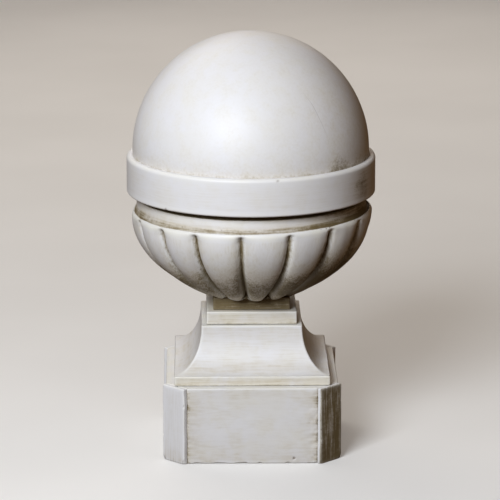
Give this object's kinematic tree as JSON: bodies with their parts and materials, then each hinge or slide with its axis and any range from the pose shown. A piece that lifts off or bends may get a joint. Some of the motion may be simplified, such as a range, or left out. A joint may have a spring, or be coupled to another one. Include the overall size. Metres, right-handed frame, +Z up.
{
  "type": "fence post cap",
  "caption": "Post cap: domed ball in a plain band over a gadrooned bowl, on a stepped and coved pedestal, with a hollow square plinth that slips over a post.",
  "frame": {"origin": "centre of the plinth's foot, where it stands", "axes": "+Z up the axis of the dome, -Y out of the front panel, +X to the right of it"},
  "size_m": [0.2476, 0.2476, 0.4177],
  "materials": {
    "dome_paint": "satin off-white paint, smooth, with a faint ochre glaze",
    "band_paint": "satin off-white paint, rubbed bright along its top edge",
    "collar_paint": "satin off-white paint with dirt in its lower crease",
    "bowl_paint": "satin cream paint, olive-brown glaze in the grooves, worn lobe tops",
    "step_paint": "satin cream paint brushed sideways, arrises rubbed bright",
    "cove_paint": "satin cream paint brushed sideways, arrises rubbed bright",
    "panel_paint": "satin cream paint brushed sideways, warm glaze at the edges; bare timber inside",
    "strip_paint": "satin cream paint brushed up and down, chipped corners",
    "bare_timber": "bare softwood, sawn and planed",
    "beech": "bare fluted beech",
    "zinc_steel": "bright zinc plate"
  },
  "bodies": {
    "root": {"panel_front": "panel_paint", "panel_right": "panel_paint", "panel_back": "panel_paint", "panel_left": "panel_paint", "corner_strip_front_right": "strip_paint", "corner_strip_back_right": "strip_paint", "corner_strip_back_left": "strip_paint", "corner_strip_front_left": "strip_paint", "cap_board": "step_paint", "cove_front": "cove_paint", "cove_right": "cove_paint", "cove_back": "cove_paint", "cove_left": "cove_paint", "lower_step": "step_paint", "upper_step": "step_paint", "carved_bowl": "bowl_paint", "collar_disc": "collar_paint", "band_ring": "band_paint", "dome": "dome_paint", "deck_board": "bare_timber", "pedestal_core": "bare_timber", "bulkhead_disc": "bare_timber", "dowel_left": "beech", "dowel_right": "beech", "tie_rod": "zinc_steel", "lower_nut": "zinc_steel", "lower_washer": "zinc_steel", "upper_nut": "zinc_steel", "upper_washer": "zinc_steel", "deck_screw_front_right": "zinc_steel", "deck_screw_back_right": "zinc_steel", "deck_screw_back_left": "zinc_steel", "deck_screw_front_left": "zinc_steel"}
  },
  "joints": []
}
